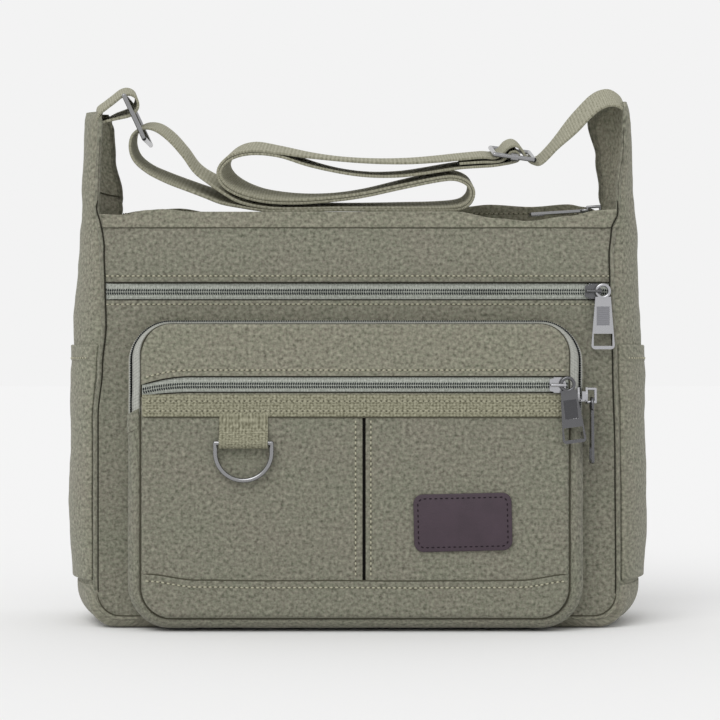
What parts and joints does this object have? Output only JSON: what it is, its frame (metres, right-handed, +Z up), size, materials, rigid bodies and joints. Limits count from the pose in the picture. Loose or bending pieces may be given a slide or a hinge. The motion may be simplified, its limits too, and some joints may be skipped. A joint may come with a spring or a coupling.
{
  "type": "messenger bag",
  "caption": "Soft canvas messenger bag with a boxed front pocket, zipped compartments, side pockets, a webbing tab with a D ring and an adjustable shoulder strap.",
  "frame": {"origin": "on the floor under the middle of the bag's box", "axes": "+X across the bag to its right as seen from the front, +Y from the front to the back, +Z up"},
  "size_m": [0.3612, 0.1275, 0.3249],
  "materials": {
    "canvas": "mottled woven canvas",
    "dark_canvas": "mottled woven canvas",
    "lining": "plain woven",
    "webbing": "ribbed webbing",
    "zip_tape": "knitted tape",
    "zip_teeth": "satin",
    "metal": "satin gunmetal",
    "leather": "matt, fine grain"
  },
  "bodies": {
    "bag": {"base_panel": "dark_canvas", "front_panel_low": "canvas", "front_panel_top": "canvas", "top_hem_front": "canvas", "back_panel": "canvas", "top_hem_back": "canvas", "gusset_left": "canvas", "gusset_right": "canvas", "lining": "lining", "side_pocket_left": "canvas", "side_pocket_right": "canvas", "front_zip_tape": "zip_tape", "front_zip_chain": "zip_teeth", "pocket_boxing": "dark_canvas", "pocket_piping": "dark_canvas", "pocket_face_top": "canvas", "pocket_face_low": "canvas", "pocket_zip_tape": "zip_tape", "pocket_zip_chain": "zip_teeth", "face_zip_tape": "zip_tape", "face_zip_chain": "zip_teeth", "webbing_band": "webbing", "slip_pocket_left": "canvas", "slip_pocket_right": "canvas", "foot_band": "canvas", "d_ring_tab": "webbing", "leather_patch": "leather", "top_end_tape": "zip_tape", "top_end_chain": "zip_teeth", "strap_tab": "webbing", "shoulder_strap": "webbing", "adjuster_frame": "metal", "adjuster_bar": "metal"},
    "front_zip_slider": {"front_zip_slider": "metal"},
    "front_zip_pull": {"front_zip_pull": "metal"},
    "face_zip_slider": {"face_zip_slider": "metal"},
    "face_zip_pull": {"face_zip_pull": "metal"},
    "pocket_zip_slider": {"pocket_zip_slider": "metal"},
    "pocket_zip_pull": {"pocket_zip_pull": "metal"},
    "top_zip_slider": {"top_zip_slider": "metal"},
    "top_zip_pull": {"top_zip_pull": "metal"},
    "top_flap_front": {"top_facing_front": "dark_canvas", "top_tape_front": "zip_tape", "top_chain_front": "zip_teeth"},
    "top_flap_back": {"top_facing_back": "dark_canvas", "top_tape_back": "zip_tape", "top_chain_back": "zip_teeth"},
    "d_ring": {"d_ring": "metal"},
    "strap_ring": {"strap_ring": "metal"}
  },
  "joints": [
    {"name": "front_zip_slide", "type": "slide", "parent": "bag", "child": "front_zip_slider", "axis": [-1, 0, 0], "range_m": [-0.005, 0.006]},
    {"name": "front_pull_swing", "type": "hinge", "parent": "front_zip_slider", "child": "front_zip_pull", "pos_m": [0.14272, -0.04075, 0.2022], "axis": [0, 0, -1], "range_deg": [0, 100]},
    {"name": "face_zip_slide", "type": "slide", "parent": "bag", "child": "face_zip_slider", "axis": [-1, 0, 0], "range_m": [0, 0.168]},
    {"name": "face_pull_swing", "type": "hinge", "parent": "face_zip_slider", "child": "face_zip_pull", "pos_m": [0.11972, -0.06075, 0.1462], "axis": [0.1219, 0, -0.9925], "range_deg": [0, 100]},
    {"name": "pocket_zip_slide", "type": "slide", "parent": "bag", "child": "pocket_zip_slider", "axis": [0, 0, 1], "range_m": [0, 0.013]},
    {"name": "pocket_pull_swing", "type": "hinge", "parent": "pocket_zip_slider", "child": "pocket_zip_pull", "pos_m": [0.139, -0.04855, 0.13818], "axis": [0, -1, 0], "range_deg": [0, 110]},
    {"name": "top_zip_slide", "type": "slide", "parent": "bag", "child": "top_zip_slider", "axis": [-0.9976, 0, -0.0698], "range_m": [0, 0.2546]},
    {"name": "top_pull_swing", "type": "hinge", "parent": "top_zip_slider", "child": "top_zip_pull", "pos_m": [0.14348, -0.00355, 0.25305], "axis": [0, 1, 0], "range_deg": [0, 75]},
    {"name": "top_front_fold", "type": "hinge", "parent": "bag", "child": "top_flap_front", "pos_m": [0.00007, -0.02705, 0.2355], "axis": [0.9976, 0, 0.0698], "range_deg": [-80, 0]},
    {"name": "top_back_fold", "type": "hinge", "parent": "bag", "child": "top_flap_back", "pos_m": [0.00007, 0.01995, 0.2355], "axis": [0.9976, 0, 0.0698], "range_deg": [0, 80]},
    {"name": "d_ring_swing", "type": "hinge", "parent": "bag", "child": "d_ring", "pos_m": [-0.0675, -0.06055, 0.112], "axis": [-1, 0, 0], "range_deg": [0, 150]},
    {"name": "strap_ring_swing", "type": "hinge", "parent": "bag", "child": "strap_ring", "pos_m": [-0.1416, -0.00355, 0.321], "axis": [0, 1, 0], "range_deg": [-6, 6]}
  ]
}
